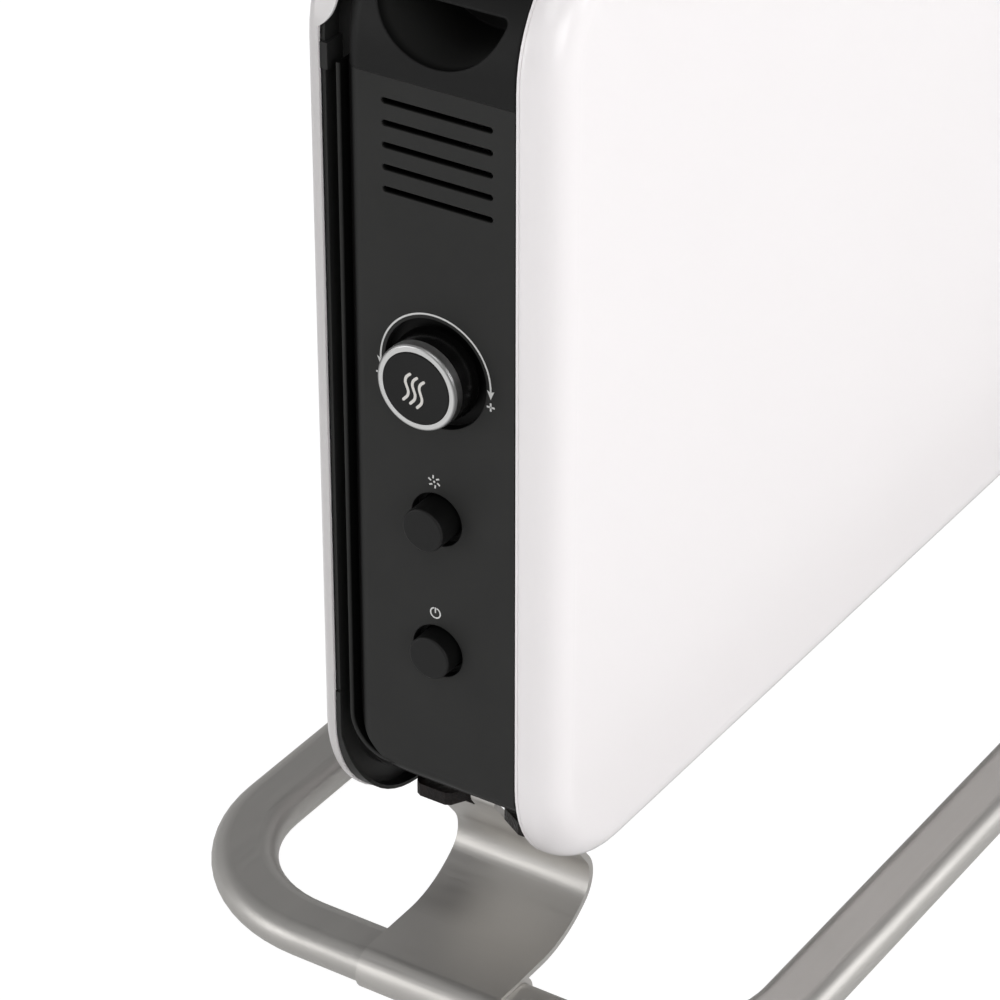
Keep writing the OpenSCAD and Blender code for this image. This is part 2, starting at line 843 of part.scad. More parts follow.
module control_bracket() {
    color(zinc) at_left() difference() {
        translate([bracket_x, -post_y - 4, control_z])
            cube([plate_t, 2 * post_y + 8, control_h]);
        bar(bracket_x - 1, switch_x + 1, bush_r + 0.1, 0, knob_z);
        for (z = [fan_button_z, power_button_z])
            bar(bracket_x - 1, switch_x + 1, stem_r + 0.5, 0, z);
    }
}

// A push button with its stem, pressed in by the given travel
module button(z, pressed) {
    soft = 0.9;
    translate([pressed, 0, z]) {
        rotate([0, 90, 0]) rotate_extrude() union() {
            translate([0, soft - button_out])
                square([button_r, button_out + flange_x + flange_t - soft]);
            translate([0, -button_out]) square([button_r - soft, 2]);
            translate([button_r - soft, soft - button_out]) circle(soft);
            translate([0, flange_x]) square([flange_r, flange_t]);
        }
        bar(flange_x, stem_end, stem_r);
    }
}

module fan_button() {
    color([0.13, 0.13, 0.13]) at_left() button(fan_button_z, 0);
}

module power_button() {
    color([0.13, 0.13, 0.13]) at_left() button(power_button_z, latch_travel);
}

// A switch behind the control bracket, bored for a button's stem
module switch(z) {
    difference() {
        translate([switch_x, -10, z - 9]) cube([switch_l, 20, 18]);
        bar(switch_x - 1, stem_end + fan_travel + 2, stem_r + run_gap, 0, z);
    }
}

module fan_switch() {
    color("dimgray") at_left() switch(fan_button_z);
}

module power_switch() {
    color("dimgray") at_left() switch(power_button_z);
}

fan_x0 = -fan_l / 2;
fan_wall = 2;
axle_r = 2;

module fan_housing() {
    r = fan_r + 4;
    color(zinc) translate([0, fan_y, fan_z]) difference() {
        union() {
            for (x = [fan_x0 - 2 - fan_wall, -fan_x0 + 2])
                along(x, x + fan_wall) union() {
                    circle(r + 1.5);
                    translate([-r, part_z - fan_z]) square([2 * r, fan_z - part_z]);
                }
            along(fan_x0 - 2 - eps, -fan_x0 + 2 + eps) band(r, r + 1.5, -60, 90);
            along(fan_x0 - 2 - eps, -fan_x0 + 2 + eps) band(r, r + 1.5, 130, 200);
        }
        bar(fan_x0 - 10, -fan_x0 + 10, axle_r + run_gap);
    }
}

module fan_impeller() {
    color("gray") translate([0, fan_y, fan_z]) difference() {
        union() {
            for (x = [fan_x0, -1, -fan_x0 - 2])
                along(x, x + 2) circle(fan_r);
            along(fan_x0 + 1, -fan_x0 - 1) for (i = [0:blade_n - 1])
                rotate(i * 360 / blade_n) translate([fan_r - 6, 0]) rotate(30) square([5, 0.8]);
            bar(fan_x0, -fan_x0, axle_r + 2);
        }
        bar(fan_x0 - 1, -fan_x0 + 1, axle_r + 0.05);
    }
}

module fan_shaft() {
    color(steel) bar(fan_x0 - 2 - fan_wall - 2, -fan_x0 + 2 + fan_wall + 20, axle_r, fan_y, fan_z);
}

module fan_motor() {
    x0 = -fan_x0 + 2 + fan_wall;
    color("dimgray") difference() {
        union() {
            bar(x0, x0 + 34, fan_r - 1, fan_y, fan_z);
            bar(x0 + 34 - eps, x0 + 38, 6, fan_y, fan_z);
        }
        bar(x0 - 1, x0 + 21, axle_r + run_gap, fan_y, fan_z);
    }
}

module overheat_cutout() {
    x0 = -part_x + plate_t;
    color("dimgray") {
        bar(x0, x0 + 3, 12, element_y, element_z + 50);
        bar(x0 + 3 - eps, x0 + 9, 8, element_y, element_z + 50);
    }
}

module tilt_switch() {
    color("dimgray") translate([-part_x + 18, -26, part_z]) cube([26, 16, 20]);
}

module terminal_block() {
    l = 20;
    color("ivory") at_left() translate([cap_l - l - 2, -17, cap_z + wall]) difference() {
        cube([l, 30, 14]);
        for (i = [-1:1])
            translate([l / 2, 15 + i * 9, 8]) cylinder(r = 2.2, h = 8);
    }
}

// Section of the foot tube, hollow
module tube_section() {
    difference() {
        flat_oval(tube_w, tube_h);
        flat_oval(tube_w - 2 * tube_t, tube_h - 2 * tube_t);
    }
}

// The half of the foot loop on the -Y side, ending at y1 inside the sleeves
module foot_half(y1) {
    straight = body_l - 2 * loop_corner_x;
    translate([0, 0, tube_z]) {
        translate([0, -rail_y, 0]) along(-straight / 2, straight / 2) tube_section();
        for (s = [0, 1]) mirror([s, 0, 0]) {
            translate([-straight / 2, -rail_y + loop_r, 0]) rotate([0, 0, 180])
                rotate_extrude(angle = 90) translate([loop_r, 0]) tube_section();
            translate([-body_l / 2 - loop_out, 0, 0])
                across(-rail_y + loop_r, y1) tube_section();
        }
    }
}

module front_foot_tube() {
    color(steel) foot_half(leg_y - fit / 2);
}

module rear_foot_tube() {
    color(steel) mirror([0, 1, 0]) foot_half(-leg_y - fit / 2);
}

// Side view of a leg: x runs inward from the end face and y is the height
module leg_section() {
    scoop_c = [leg_flat, leg_top + scoop_r];
    tip_c = scoop_c + (scoop_r - tip_r) * [sin(scoop_a), -cos(scoop_a)];
    n = [sin(arm_a), cos(arm_a)];
    arm_0 = tip_c + tip_r * n;
    bend_r = 2 + leg_t;
    bend_z = tray_z - bend_r;
    bend_x = (arm_0 * n + bend_r - n[1] * bend_z) / n[0];
    arm_1 = [bend_x, bend_z] - bend_r * n;
    // Neighbouring stretches overlap a little, so that they join
    lap = 0.05;
    difference() {
        union() {
            translate([-loop_out, (leg_top + 0.4) / 2])
                flat_oval(tube_w + 2 * sleeve_t + 0.3, leg_top - 0.4);
            translate([-loop_out, leg_top - leg_t]) square([leg_flat + loop_out, leg_t]);
            translate(scoop_c) band(scoop_r, scoop_r + leg_t, -90, -90 + scoop_a);
            translate(tip_c) band(tip_r, tip_r + leg_t, -90.2 + scoop_a, 90 - arm_a);
            translate(arm_0) rotate(180 - arm_a) translate([-lap, -leg_t])
                square([norm(arm_1 - arm_0) + 2 * lap, leg_t]);
            translate([bend_x, bend_z]) band(2, bend_r, 90, 270 - arm_a);
            translate([thumb_x - 7, tray_z - leg_t]) square([flange_l, leg_t]);
        }
        translate([-loop_out, tube_z]) flat_oval(tube_w + 0.3, tube_h + 0.3);
    }
}

// A notch that clears a thumbscrew, h deep, drawn in y and z
module notch_section(h, r) {
    z = tray_z - h;
    y = strap_w / 2;
    translate([y, z + r]) square([leg_w, h - leg_t - r]);
    translate([y + r, z]) square([leg_w, h - leg_t]);
    translate([y + r, z + r]) circle(r);
}

module leg() {
    difference() {
        across(leg_y - leg_w / 2, leg_y + leg_w / 2) leg_section();
        translate([0, strap_y, 0]) {
            along(0, thumb_x + flange_l) notch_section(rear_notch_h, 1.5);
            mirror([0, 1, 0]) along(0, thumb_x + flange_l)
                notch_section(notch_h, 4);
        }
        for (t = [-1, 1])
            translate([thumb_x, t * thumb_gap / 2, tray_z - leg_t - 1])
                cylinder(r = thumb_stem_r + 0.3, h = leg_t + 2);
    }
}

module left_leg() {
    color(steel) at_left() leg();
}

module right_leg() {
    color(steel) at_right() leg();
}

// Six-sided head of a thumbscrew, with its corners cut off
module thumb_head() {
    cut = 0.1;
    polygon([for (i = [0:5], s = [-1, 1])
        let (p = [cos(60 * i), sin(60 * i)], q = [cos(60 * (i + s)), sin(60 * (i + s))])
            thumb_r * (p + cut * (q - p))]);
}

module leg_thumbscrews() {
    z0 = tray_z - leg_t - thumb_h;
    color([0.16, 0.12, 0.12]) for (s = [-1, 1], t = [-1, 1])
        translate([s * (body_l / 2 - thumb_x), t * thumb_gap / 2, z0]) {
            rotate([0, 0, t > 0 ? 30 : 0]) linear_extrude(thumb_h) thumb_head();
            cylinder(r = thumb_stem_r, h = thumb_h + leg_t + boss_h);
        }
}

module foot_pads() {
    color([0.1, 0.1, 0.1])
        for (x = [-1, 1], y = [-1, 1])
            translate([x * (body_l / 2 - foot_in), y * rail_y, 0]) linear_extrude(pad_t)
                flat_oval(foot_l, foot_w);
}

front_panel();
rear_panel();
rear_frame();
left_end_cap();
right_end_cap();
left_handle();
right_handle();
top_grille();
base_tray();
left_partition();
right_partition();
front_baffle();
heating_element();
element_sheath();
element_bushes();
thermostat_knob();
knob_ring();
thermostat_shaft();
thermostat_body();
control_bracket();
fan_button();
power_button();
fan_switch();
power_switch();
fan_motor();
fan_impeller();
fan_shaft();
fan_housing();
overheat_cutout();
tilt_switch();
terminal_block();
cord_gland();
front_foot_tube();
rear_foot_tube();
left_leg();
right_leg();
leg_thumbscrews();
foot_pads();
rear_screws();
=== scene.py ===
import json
import math

import bmesh
import bpy
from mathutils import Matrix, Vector


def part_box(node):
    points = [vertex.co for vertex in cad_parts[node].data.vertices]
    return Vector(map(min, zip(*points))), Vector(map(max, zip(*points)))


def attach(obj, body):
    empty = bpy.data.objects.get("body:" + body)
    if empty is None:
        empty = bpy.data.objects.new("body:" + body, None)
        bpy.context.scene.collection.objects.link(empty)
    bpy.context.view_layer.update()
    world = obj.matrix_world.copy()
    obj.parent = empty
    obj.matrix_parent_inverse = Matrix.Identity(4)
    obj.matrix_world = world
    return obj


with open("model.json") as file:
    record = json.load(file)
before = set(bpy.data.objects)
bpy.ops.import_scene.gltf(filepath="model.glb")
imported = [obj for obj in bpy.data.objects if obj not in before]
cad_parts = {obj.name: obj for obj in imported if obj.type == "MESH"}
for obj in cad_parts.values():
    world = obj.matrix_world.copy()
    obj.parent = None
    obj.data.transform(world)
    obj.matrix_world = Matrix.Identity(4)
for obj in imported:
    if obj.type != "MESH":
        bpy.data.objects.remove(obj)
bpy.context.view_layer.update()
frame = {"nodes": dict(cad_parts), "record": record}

# All sizes are in metres, in the frame of the CAD model
MM = 0.001
END_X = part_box("left_end_cap")[0][0]
END_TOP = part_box("left_handle")[1][2]
CORNER_R = 50 * MM
KNOB_LOW, KNOB_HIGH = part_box("thermostat_knob")
KNOB_Z = (KNOB_LOW[2] + KNOB_HIGH[2]) / 2
KNOB_FACE = KNOB_LOW[0]


# Camera

# Fitted to the photograph: where the camera stands, which way it looks, and its lens in millimetres
CAMERA_PLACE = (-1.4467, -0.7008, 0.9735)
CAMERA_AIM = (0.71909, 0.46734, -0.51430)
CAMERA_LENS = 147.1


def make_camera():
    data = bpy.data.cameras.new("camera")
    data.lens = CAMERA_LENS
    data.sensor_width = 36
    data.clip_start = 0.01
    camera = bpy.data.objects.new("camera", data)
    camera.location = CAMERA_PLACE
    camera.rotation_euler = Vector(CAMERA_AIM).to_track_quat("-Z", "Y").to_euler()
    bpy.context.collection.objects.link(camera)
    bpy.context.scene.camera = camera


# Material nodes


class Look:
    """A material and its node tree, with short ways to add nodes and join them."""

    def __init__(self, name):
        self.material = bpy.data.materials.new(name)
        self.material.use_nodes = True
        self.tree = self.material.node_tree
        self.shader = self.tree.nodes["Principled BSDF"]

    def add(self, kind, settings=None, **inputs):
        node = self.tree.nodes.new(kind)
        for name, value in (settings or {}).items():
            setattr(node, name, value)
        for name, value in inputs.items():
            self.put(node.inputs[name.replace("_", " ")], value)
        return node

    def put(self, socket, value):
        if isinstance(value, bpy.types.NodeSocket):
            self.tree.links.new(value, socket)
        else:
            socket.default_value = value

    def set(self, **inputs):
        for name, value in inputs.items():
            self.put(self.shader.inputs[name.replace("_", " ")], value)

    def place(self, scale=(1, 1, 1)):
        """The point on the object, in metres times scale."""
        where = self.add("ShaderNodeTexCoord")
        mapping = self.add("ShaderNodeMapping", Vector=where.outputs["Object"])
        mapping.inputs["Scale"].default_value = scale
        return mapping.outputs["Vector"]

    def noise(self, scale, detail=2.0, stretch=(1, 1, 1), roughness=0.5):
        node = self.add("ShaderNodeTexNoise", Vector=self.place(stretch), Scale=scale,
                        Detail=detail, Roughness=roughness)
        return node.outputs["Fac"]

    def range(self, value, low, high, start=0.0, end=1.0):
        """Maps value from start..end to low..high."""
        node = self.add("ShaderNodeMapRange", Value=value)
        node.inputs["From Min"].default_value = start
        node.inputs["From Max"].default_value = end
        node.inputs["To Min"].default_value = low
        node.inputs["To Max"].default_value = high
        return node.outputs["Result"]

    def maths(self, operation, *values):
        node = self.add("ShaderNodeMath", {"operation": operation})
        for socket, value in zip(node.inputs, values):
            self.put(socket, value)
        return node.outputs[0]

    def length(self, vector):
        node = self.add("ShaderNodeVectorMath", {"operation": "LENGTH"})
        self.tree.links.new(vector, node.inputs[0])
        return node.outputs["Value"]

    def split(self, vector):
        """The X, Y and Z of a vector, as the outputs of one node."""
        return self.add("ShaderNodeSeparateXYZ", Vector=vector).outputs

    def normal(self, axis):
        """How far the surface faces along X, Y or Z, from -1 to 1."""
        return self.split(self.add("ShaderNodeNewGeometry").outputs["Normal"])[axis]

    def sunk(self, start, end):
        """0 on the outside of an end or a handle, 1 where it lies deep under that outside."""
        where = self.split(self.place())
        along = self.maths("SUBTRACT", self.maths("ABSOLUTE", where["X"]), -END_X - CORNER_R)
        above = self.maths("SUBTRACT", where["Z"], END_TOP - CORNER_R)
        corner = self.add("ShaderNodeCombineXYZ", X=self.maths("MAXIMUM", along, 0.0),
                          Z=self.maths("MAXIMUM", above, 0.0))
        return self.range(self.length(corner.outputs[0]), 1, 0, CORNER_R - end, CORNER_R - start)

    def mix(self, share, first, second):
        """A colour between two, by share."""
        node = self.add("ShaderNodeMix", {"data_type": "RGBA"})
        self.put(node.inputs[0], share)
        for socket, value in ((node.inputs[6], first), (node.inputs[7], second)):
            self.put(socket, value if isinstance(value, bpy.types.NodeSocket) else (*value, 1))
        return node.outputs[2]

    def bump(self, height, strength, depth, soft=0.0):
        """Fine relief, over edges that are rounded by the radius soft."""
        node = self.add("ShaderNodeBump", Height=height, Strength=strength, Distance=depth)
        if soft:
            edge = self.add("ShaderNodeBevel", {"samples": 6}, Radius=soft)
            self.tree.links.new(edge.outputs["Normal"], node.inputs["Normal"])
        return node.outputs["Normal"]


# Materials. Colours are linear, and noise scales are in features per metre

ENAMEL_LOW, ENAMEL_HIGH = (0.86, 0.829, 0.836), (0.88, 0.85, 0.856)
# Painted shade: the enamel's colour on its narrow ends, and where it is seen at a grazing angle
ENAMEL_END_SHADE = (0.38, 0.37, 0.365)
ENAMEL_GRAZED_SHADE = (0.45, 0.44, 0.44)
FINE_GRAIN = 0.1 * MM


def white_enamel(name, end_shade_share):
    """Glossy white, with painted shade where it is seen at a grazing angle and, by the given share, on
    its narrow ends that face along X.
    """
    look = Look(name)
    tone = look.mix(look.noise(9, 3), ENAMEL_LOW, ENAMEL_HIGH)
    # Painted shade on the ends, which face along X, then painted shade at grazing angles
    turned = look.maths("ABSOLUTE", look.normal("X"))
    tone = look.mix(look.range(turned, 0, end_shade_share, 0.6, 1.0), tone, ENAMEL_END_SHADE)
    grazed = look.add("ShaderNodeLayerWeight", Blend=0.5).outputs["Facing"]
    look.set(Base_Color=look.mix(look.range(grazed, 0, 1, 0.8, 1.0), tone, ENAMEL_GRAZED_SHADE))
    look.set(Roughness=look.range(look.noise(60, 2), 0.3, 0.36))
    look.set(Normal=look.bump(look.noise(420, 2), 0.08, 0.3 * MM))
    look.set(Coat_Weight=0.25, Coat_Roughness=0.12)
    return look.material


def warm_grey(level, blue=0.97):
    return (level, level, level * blue)


def moulded_black(name, base, shine, roughness, grain, soft, painted_recess_tone=None):
    """Matte black plastic with a fine grain and edges rounded by soft.

    The last argument holds the colour painted into recesses, as painted shade in the ends' wells and
    grooves and painted light in the handles' pockets, and the depths where it starts and where it is
    reached.
    """
    look = Look(name)
    tone = look.mix(look.noise(35, 3), warm_grey(base, 0.98), warm_grey(base * 1.3))
    # Painted recess tone, on all but downward faces that lie deep under the outer surface
    if painted_recess_tone:
        level, start, end = painted_recess_tone
        upward = look.range(look.normal("Z"), 0, 1, -0.4, -0.05)
        tone = look.mix(look.maths("MULTIPLY", look.sunk(start, end), upward), tone, warm_grey(level))
    look.set(Base_Color=tone)
    look.set(Roughness=look.range(look.noise(240, 2), roughness - 0.03, roughness + 0.04))
    look.set(Normal=look.bump(look.noise(3200, 2), grain, FINE_GRAIN, soft))
    look.set(Specular_IOR_Level=shine)
    return look.material


# How far behind the knob's front its matte disc ends and its glossy skirt begins
DISC_END, SKIRT_START = 1.2 * MM, 1.4 * MM


def knob_black():
    """Glossy round the skirt, with a matte disc in front."""
    look = Look("knob_black")
    front = look.range(look.split(look.place())["X"], 1, 0, KNOB_FACE + DISC_END, KNOB_FACE + SKIRT_START)
    skirt = look.mix(look.noise(80, 2), warm_grey(0.002, 1), warm_grey(0.003, 1))
    look.set(Base_Color=look.mix(front, skirt, warm_grey(0.0035, 1)))
    look.set(Roughness=look.range(front, 0.16, 0.5))
    look.set(Normal=look.bump(look.noise(2600, 2), 0.04, FINE_GRAIN, 0.2 * MM))
    look.set(Specular_IOR_Level=0.22)
    return look.material


def brushed(name, stretch, colour, roughness, strength=0.25):
    """Bare metal with fine lines along the axis that stretch squeezes."""
    look = Look(name)
    lines = look.noise(1, 4, stretch, 0.6)
    dark = tuple(c * 0.93 for c in colour)
    look.set(Base_Color=look.mix(lines, dark, colour))
    look.set(Metallic=1.0)
    look.set(Roughness=look.range(lines, roughness - 0.05, roughness + 0.06, 0.3, 0.7))
    look.set(Normal=look.bump(lines, strength, 0.06 * MM))
    return look.material


# From the knob's axis: where the ring's front ends and where its side begins
RING_FRONT_R, RING_SIDE_R = 15.5 * MM, 16.3 * MM


def satin_silver():
    """Satin ring, with painted shade on its side, darker than its front, and painted light where the side
    faces up.
    """
    look = Look("satin_silver")
    where = look.split(look.place())
    radial = look.add("ShaderNodeCombineXYZ", Y=where["Y"],
                      Z=look.maths("SUBTRACT", where["Z"], KNOB_Z))
    # Painted shade on the ring's side, against its front
    side = look.range(look.length(radial.outputs[0]), 0, 1, RING_FRONT_R, RING_SIDE_R)
    front = look.mix(look.noise(150, 2), (0.56, 0.56, 0.555), (0.61, 0.61, 0.605))
    # Painted light where the side faces up
    upward = look.range(look.normal("Z"), 0, 1, 0.25, 0.9)
    painted_flank_shade = look.mix(upward, warm_grey(0.16, 1), warm_grey(0.5, 1))
    look.set(Base_Color=look.mix(side, front, painted_flank_shade))
    look.set(Metallic=1.0)
    look.set(Roughness=look.range(look.noise(300, 2), 0.33, 0.37))
    return look.material


def plain_plastic(name, colour, roughness):
    """Plastic or ceramic of one colour, with a slight mottle and grain."""
    look = Look(name)
    low = tuple(c * 0.85 for c in colour)
    look.set(Base_Color=look.mix(look.noise(50, 3), low, colour))
    look.set(Roughness=look.range(look.noise(260, 2), roughness - 0.04, roughness + 0.05))
    look.set(Normal=look.bump(look.noise(1800, 2), 0.12, FINE_GRAIN))
    return look.material


def worn_black():
    """Brownish black screws with rubbed edges."""
    look = Look("thumbscrew_brown")
    wear = look.noise(300, 5, roughness=0.7)
    rubbed = look.range(wear, 0, 1, 0.45, 0.7)
    look.set(Base_Color=look.mix(rubbed, (0.005, 0.0035, 0.0035), (0.014, 0.009, 0.008)))
    look.set(Roughness=look.range(wear, 0.28, 0.46, 0.3, 0.7))
    look.set(Normal=look.bump(look.noise(700, 4), 0.7, 0.5 * MM, 0.25 * MM))
    look.set(Specular_IOR_Level=0.22)
    return look.material


def galvanised():
    """Zinc on sheet steel, with its flakes."""
    look = Look("galvanised_steel")
    flakes = look.add("ShaderNodeTexVoronoi", Vector=look.place(), Scale=140.0)
    look.set(Base_Color=look.mix(flakes.outputs["Color"], (0.46, 0.47, 0.48), (0.58, 0.59, 0.6)))
    look.set(Metallic=1.0)
    look.set(Roughness=look.range(flakes.outputs["Distance"], 0.38, 0.52))
    return look.material


def print_ink(name, colour):
    """Silkscreen ink, slightly uneven."""
    look = Look(name)
    low = tuple(c * 0.9 for c in colour)
    look.set(Base_Color=look.mix(look.noise(900, 2), low, colour))
    look.set(Roughness=look.range(look.noise(600, 2), 0.42, 0.5))
    return look.material


MATERIALS = {
    "white_enamel": white_enamel("white_enamel", end_shade_share=0.05),
    # black_plastic gets painted shade in its recesses
    "black_plastic": moulded_black("black_plastic", base=0.022, shine=0.12, roughness=0.5, grain=0.16,
                                  soft=0.6 * MM, painted_recess_tone=(0.002, 0.05 * MM, 1.2 * MM)),
    "black_steel": plain_plastic("black_steel", warm_grey(0.012, 1), roughness=0.55),
    "galvanised_steel": galvanised(),
    "element_aluminium": brushed("element_aluminium", (8, 900, 900), (0.7, 0.7, 0.71), roughness=0.42),
    "plain_steel": brushed("plain_steel", (900, 900, 900), (0.5, 0.5, 0.5), roughness=0.3,
                           strength=0.1),
    "ceramic": plain_plastic("ceramic", (0.72, 0.68, 0.6), roughness=0.6),
    "knob_black": knob_black(),
    "satin_silver": satin_silver(),
    "button_black": moulded_black("button_black", base=0.003, shine=0.235, roughness=0.5, grain=0.1,
                                 soft=0.3 * MM),
    "grey_plastic": plain_plastic("grey_plastic", warm_grey(0.05, 1), roughness=0.5),
    "motor_steel": plain_plastic("motor_steel", warm_grey(0.06, 1), roughness=0.4),
    "brushed_steel": brushed("brushed_steel", (1400, 26, 1400), (0.57, 0.554, 0.532), roughness=0.46),
    "thumbscrew_brown": worn_black(),
    "pad_rubber": plain_plastic("pad_rubber", warm_grey(0.02, 1), roughness=0.7),
    "screw_zinc": brushed("screw_zinc", (600, 600, 600), (0.6, 0.6, 0.58), roughness=0.35,
                          strength=0.1),
}
TUBE_STEEL = brushed("tube_steel", (30, 700, 700), (0.53, 0.516, 0.496), roughness=0.48, strength=0.06)
# The handles get painted light in their pockets
HANDLE_BLACK = moulded_black("handle_black", base=0.003, shine=0.19, roughness=0.5, grain=0.12,
                             soft=1.2 * MM, painted_recess_tone=(0.02, 1 * MM, 5 * MM))
FRAME_BLACK = moulded_black("frame_black", base=0.016, shine=0.2, roughness=0.45, grain=0.12,
                            soft=0.3 * MM)
# The rear panel's enamel: a copy with more painted shade on its ends
REAR_ENAMEL_SHADED = white_enamel("rear_enamel_shaded", end_shade_share=0.6)
# Nodes whose finish differs from the rest of their slot; the rear panel's enamel differs only by more
# painted shade on its ends
OWN_MATERIALS = {
    "front_foot_tube": TUBE_STEEL,
    "rear_foot_tube": TUBE_STEEL,
    "left_handle": HANDLE_BLACK,
    "right_handle": HANDLE_BLACK,
    "rear_frame": FRAME_BLACK,
    "rear_panel": REAR_ENAMEL_SHADED,
}
INK = print_ink("print_ink", (0.68, 0.68, 0.67))
KNOB_INK = print_ink("knob_ink", (0.68, 0.66, 0.63))


def paint_nodes():
    """Gives each CAD node its own material, or that of its slot."""
    for part in frame["record"]["subparts"]:
        node = frame["nodes"][part["node"]]
        for slot in node.material_slots:
            slot.material = OWN_MATERIALS.get(part["node"], MATERIALS[part["material_slot"]])


# Printed symbols, as thin raised pieces on surfaces that face -X

INK_T = 0.06 * MM
# The hollow of the knob's disc: its radius, and its depth in the middle and at that radius
DISC_R, DISC_DEEP, DISC_SHALLOW = 11 * MM, 0.5 * MM, 0.1 * MM
# A round line end: how far out each of its marks is, as a share of half the line's width
ROUND_STEPS = (0.4, 0.75, 0.97)


def end_plate(y, z):
    """How far along X the plate with the controls lies at (y, z)."""
    return END_X


def knob_disc(y, z):
    """The same on the knob's disc, which is a little hollow."""
    share = min(1, math.hypot(y, z - KNOB_Z) / DISC_R)
    return KNOB_FACE + DISC_DEEP + (DISC_SHALLOW - DISC_DEEP) * share


def line_marks(points, width, closed):
    """For each point of a line: the point, half the width along the line, and a share of the width."""
    count = len(points)
    marks = []
    for i, point in enumerate(points):
        before = points[i - 1] if (i or closed) else point
        after = points[(i + 1) % count] if (i + 1 < count or closed) else point
        marks.append((point, (after - before).normalized() * width / 2, 1))
    return marks


def round_end(mark, way):
    """Marks that round off the end of a line beyond its last mark."""
    point, run, _ = mark
    return [(point + run * way * share, run, math.sqrt(1 - share * share)) for share in ROUND_STEPS]


def strip(name, lines, width, surface=end_plate, body="heater", rounded=False):
    """Print in lines of one width. Each line is a list of (y, z) points, closed if its ends meet."""
    bm = bmesh.new()
    for points in lines:
        points = [Vector(p) for p in points]
        closed = (points[0] - points[-1]).length < 1e-7
        marks = line_marks(points[:-1] if closed else points, width, closed)
        if rounded:
            marks = round_end(marks[0], -1)[::-1] + marks + round_end(marks[-1], 1)
        rings = []
        for point, run, wide in marks:
            side = Vector((-run.y, run.x)) * wide
            corners = ((point - side, 0), (point - side, INK_T), (point + side, INK_T), (point + side, 0))
            rings.append([bm.verts.new((surface(p.x, p.y) - t, p.x, p.y)) for p, t in corners])
        count = len(rings)
        for i in range(count if closed else count - 1):
            a, b = rings[i], rings[(i + 1) % count]
            for j in range(4):
                bm.faces.new((a[j], a[(j + 1) % 4], b[(j + 1) % 4], b[j]))
        if not closed:
            bm.faces.new(rings[0])
            bm.faces.new(rings[-1][::-1])
    finish_piece(bm, name, body)


def patch(name, outlines, surface=end_plate, body="heater"):
    """Print that fills closed outlines of (y, z) points."""
    bm = bmesh.new()
    for outline in outlines:
        rows = [[bm.verts.new((surface(y, z) - t, y, z)) for y, z in outline] for t in (0, INK_T)]
        bm.faces.new(rows[0])
        bm.faces.new(rows[1][::-1])
        for i in range(len(outline)):
            j = (i + 1) % len(outline)
            bm.faces.new((rows[0][i], rows[0][j], rows[1][j], rows[1][i]))
    finish_piece(bm, name, body)


def finish_piece(bm, name, body):
    """Makes a printed piece of a mesh, in the ink of its body."""
    bmesh.ops.recalc_face_normals(bm, faces=bm.faces)
    mesh = bpy.data.meshes.new(name)
    bm.to_mesh(mesh)
    bm.free()
    mesh.materials.append(KNOB_INK if body == "knob" else INK)
    piece = bpy.data.objects.new(name, mesh)
    bpy.context.collection.objects.link(piece)
    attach(piece, body)


def polar(y, z, r, angle):
    """The point at radius r round (y, z), by angle in degrees from +Y towards +Z."""
    return (y + r * math.cos(math.radians(angle)), z + r * math.sin(math.radians(angle)))


def arc(y, z, r, start, end, steps):
    """Points on a circle round (y, z), from one angle to another."""
    return [polar(y, z, r, start + (end - start) * i / steps) for i in range(steps + 1)]


DIAL_W, DIAL_R = 0.68 * MM, 23.2 * MM
DIAL_LOW, DIAL_HIGH, DIAL_STEPS = -1.0, 181.0, 96
# An arrowhead: how far its tip hangs down, and its wings and notch from the knob's height
ARROW_TIP, ARROW_WING, ARROW_NOTCH = 3.2 * MM, 1.5 * MM, 0.3 * MM
SIGN_W, SIGN_ARM = 0.7 * MM, 1.65 * MM
SIGN_Z = KNOB_Z - 6.2 * MM
MINUS_Y = DIAL_R + 0.4 * MM


def dial_print():
    """The arc round the knob, its two arrowheads and the signs below them."""
    strip("dial_arc", [arc(0, KNOB_Z, DIAL_R, DIAL_LOW, DIAL_HIGH, DIAL_STEPS)], DIAL_W)
    heads = []
    for y in (DIAL_R, -DIAL_R):
        heads.append([
            (y, KNOB_Z - ARROW_TIP),
            (y + ARROW_WING, KNOB_Z + ARROW_NOTCH),
            (y, KNOB_Z - ARROW_NOTCH),
            (y - ARROW_WING, KNOB_Z + ARROW_NOTCH),
        ])
    patch("dial_arrows", heads)
    strip("dial_signs", [
        [(-DIAL_R - SIGN_ARM, SIGN_Z), (-DIAL_R + SIGN_ARM, SIGN_Z)],
        [(-DIAL_R, SIGN_Z - SIGN_ARM), (-DIAL_R, SIGN_Z + SIGN_ARM)],
        [(MINUS_Y - SIGN_ARM, SIGN_Z), (MINUS_Y + SIGN_ARM, SIGN_Z)],
    ], SIGN_W)


ICON_Y = 0.9 * MM
FAN_ICON_Z = 230.5 * MM
# A blade of the fan symbol: its width, and the radius and angle of its two ends
BLADES, BLADE_W = 6, 0.6 * MM
BLADE_IN, BLADE_OUT = (1.35 * MM, 8), (2.65 * MM, 22)
HUB_R, HUB_SIDES = 0.45 * MM, 12
POWER_ICON_Z = 175.1 * MM
POWER_W, POWER_R, POWER_BAR = 0.55 * MM, 2.1 * MM, 2.3 * MM
POWER_FROM, POWER_TO, POWER_STEPS = 104, 436, 44


